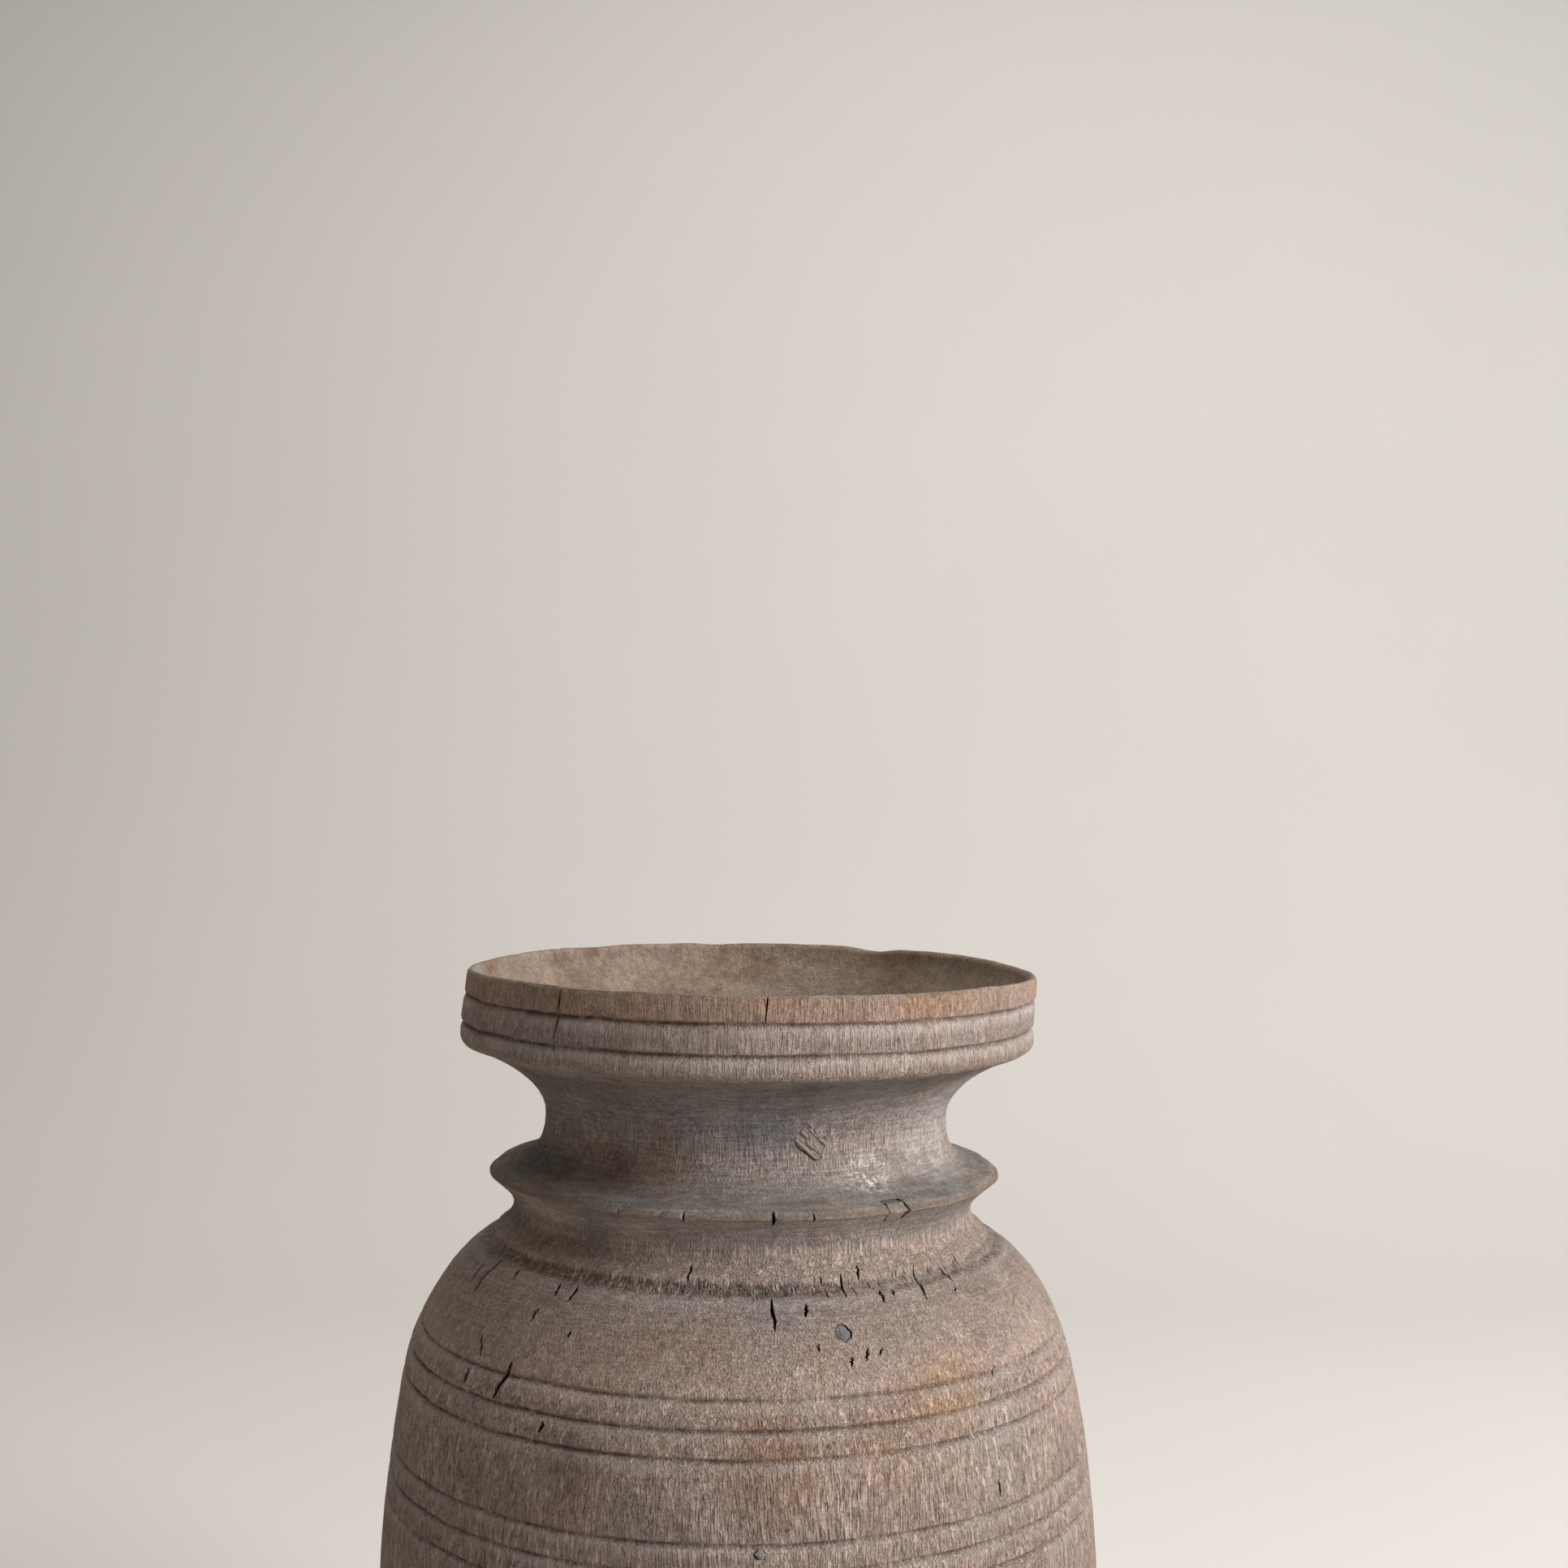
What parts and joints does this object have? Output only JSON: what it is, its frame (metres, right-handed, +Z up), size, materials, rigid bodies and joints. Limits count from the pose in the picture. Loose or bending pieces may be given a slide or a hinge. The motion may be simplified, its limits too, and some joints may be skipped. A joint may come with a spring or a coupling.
{
  "type": "turned wooden pot",
  "caption": "Turned wooden storage pot with a dished rim, a necked collar, scribed bands round an ovoid belly, and dead knots as separate plugs.",
  "frame": {"origin": "centre of the flat foot, on the surface it stands on", "axes": "+Z up along the turning axis, through the mouth; -Y is the front seen in the picture, +X is to the right as seen from the front"},
  "size_m": [0.2679, 0.268, 0.38],
  "materials": {
    "weathered_wood": "dry, bleached, matt",
    "neck_knot_wood": "torn, matt",
    "flange_knot_wood": "dry, matt",
    "shoulder_knot_wood": "grey, matt",
    "belly_knot_wood": "dark, matt"
  },
  "bodies": {
    "root": {"vessel": "weathered_wood", "neck_knot": "neck_knot_wood", "flange_knot": "flange_knot_wood", "shoulder_knot": "shoulder_knot_wood", "belly_knot": "belly_knot_wood"}
  },
  "joints": []
}
